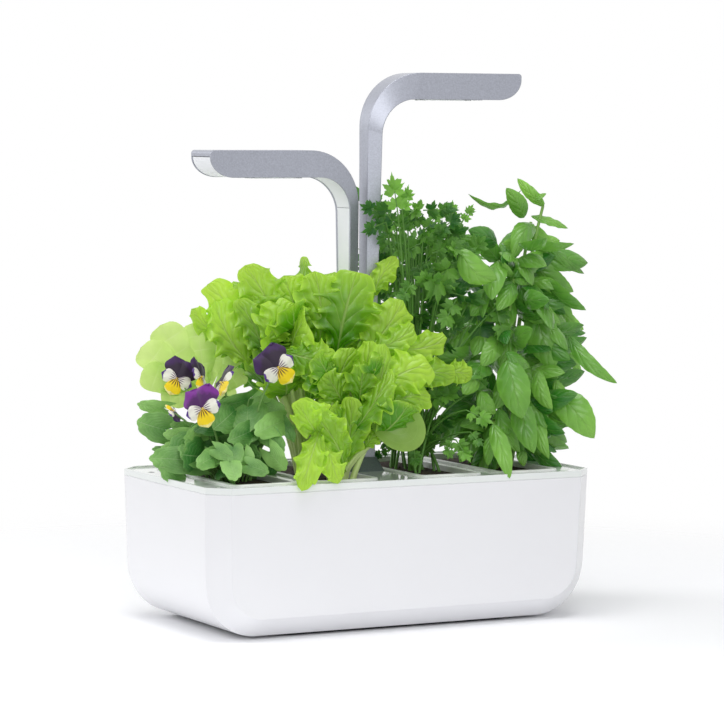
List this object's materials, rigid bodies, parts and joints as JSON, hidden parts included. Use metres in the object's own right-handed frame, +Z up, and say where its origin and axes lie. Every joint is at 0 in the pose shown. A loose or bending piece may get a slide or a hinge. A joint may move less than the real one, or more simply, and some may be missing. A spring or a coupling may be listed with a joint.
{
  "type": "indoor herb planter",
  "caption": "Self-watering indoor planter: a white water tank with a lift-off tray of long pots, and lamp arms that slide up and down over the plants.",
  "frame": {"origin": "on the worktop, under the middle of the tank, in the plane of the foot ring's flat underside", "axes": "+X along the row of pots towards the basil, +Y to the rear where the power inlet is, +Z up"},
  "size_m": [0.3794, 0.174, 0.4219],
  "materials": {
    "gloss_white": "glossy moulded plastic",
    "white_moulding": "satin moulded plastic",
    "black_rubber": "soft rubber",
    "slate_paint": "satin slate paint",
    "arm_paint": "satin silver grey paint on aluminium",
    "pale_cover": "pale translucent plastic",
    "circuit_board": "white solder mask",
    "led_yellow": "phosphor",
    "clear_plastic": "clear plastic",
    "steel_screw": "plain",
    "inlet_metal": "plated shell",
    "glide_plastic": "low friction plastic",
    "float_plastic": "closed foam plastic",
    "pot_white": "satin moulded plastic",
    "dark_soil": "moist potting soil",
    "felt_wick": "felt",
    "viola_green": "leaf",
    "viola_petal": "petal",
    "pale_green": "leaf",
    "lettuce_green": "leaf",
    "parsley_green": "leaf",
    "basil_green": "leaf"
  },
  "bodies": {
    "tank": {"tank_shell": "gloss_white", "foot_ring": "black_rubber"},
    "tray": {"tray_cover": "gloss_white", "mast_foot": "slate_paint", "mast_guide": "white_moulding", "foot_screws": "steel_screw", "control_box": "white_moulding", "control_box_lid": "white_moulding", "control_board": "circuit_board", "box_screws": "steel_screw", "power_inlet": "inlet_metal", "status_light": "clear_plastic", "gauge_cage": "white_moulding"},
    "power_button": {"power_button": "gloss_white"},
    "level_float": {"level_float": "float_plastic"},
    "left_arm": {"left_arm_shell": "arm_paint", "left_column_cover": "pale_cover", "left_lamp_cover": "pale_cover", "left_led_board": "circuit_board", "left_led_chips": "led_yellow", "left_lens": "clear_plastic", "left_cover_screws": "steel_screw", "left_arm_glide": "glide_plastic"},
    "right_arm": {"right_arm_shell": "arm_paint", "right_column_cover": "pale_cover", "right_lamp_cover": "pale_cover", "right_led_board": "circuit_board", "right_led_chips": "led_yellow", "right_lens": "clear_plastic", "right_cover_screws": "steel_screw", "right_arm_glide": "glide_plastic"},
    "viola_pot": {"viola_pot": "pot_white", "viola_soil": "dark_soil", "viola_wick": "felt_wick", "viola_leaves": "viola_green", "viola_flowers": "viola_petal", "viola_back_leaf": "pale_green"},
    "lettuce_pot": {"lettuce_pot": "pot_white", "lettuce_soil": "dark_soil", "lettuce_wick": "felt_wick", "lettuce_head": "lettuce_green", "lettuce_front_leaves": "lettuce_green"},
    "parsley_pot": {"parsley_pot": "pot_white", "parsley_soil": "dark_soil", "parsley_wick": "felt_wick", "parsley_plant": "parsley_green"},
    "basil_pot": {"basil_pot": "pot_white", "basil_soil": "dark_soil", "basil_wick": "felt_wick", "basil_plant": "basil_green"}
  },
  "joints": [
    {"name": "tray_lift", "type": "slide", "parent": "tank", "child": "tray", "axis": [0, 0, 1], "range_m": [0, 0.13]},
    {"name": "left_arm_slide", "type": "slide", "parent": "tray", "child": "left_arm", "axis": [0, 0, 1], "range_m": [0, 0.06]},
    {"name": "right_arm_slide", "type": "slide", "parent": "tray", "child": "right_arm", "axis": [0, 0, 1], "range_m": [-0.06, 0]},
    {"name": "power_button_press", "type": "slide", "parent": "tray", "child": "power_button", "axis": [0, 0, -1], "range_m": [0, 0.0012], "stiffness_N_per_m": 800},
    {"name": "level_float_rise", "type": "slide", "parent": "tray", "child": "level_float", "axis": [0, 0, 1], "range_m": [0, 0.03]},
    {"name": "viola_pot_lift", "type": "slide", "parent": "tray", "child": "viola_pot", "axis": [0, 0, 1], "range_m": [0, 0.05]},
    {"name": "lettuce_pot_lift", "type": "slide", "parent": "tray", "child": "lettuce_pot", "axis": [0, 0, 1], "range_m": [0, 0.05]},
    {"name": "parsley_pot_lift", "type": "slide", "parent": "tray", "child": "parsley_pot", "axis": [0, 0, 1], "range_m": [0, 0.05]},
    {"name": "basil_pot_lift", "type": "slide", "parent": "tray", "child": "basil_pot", "axis": [0, 0, 1], "range_m": [0, 0.05]}
  ]
}
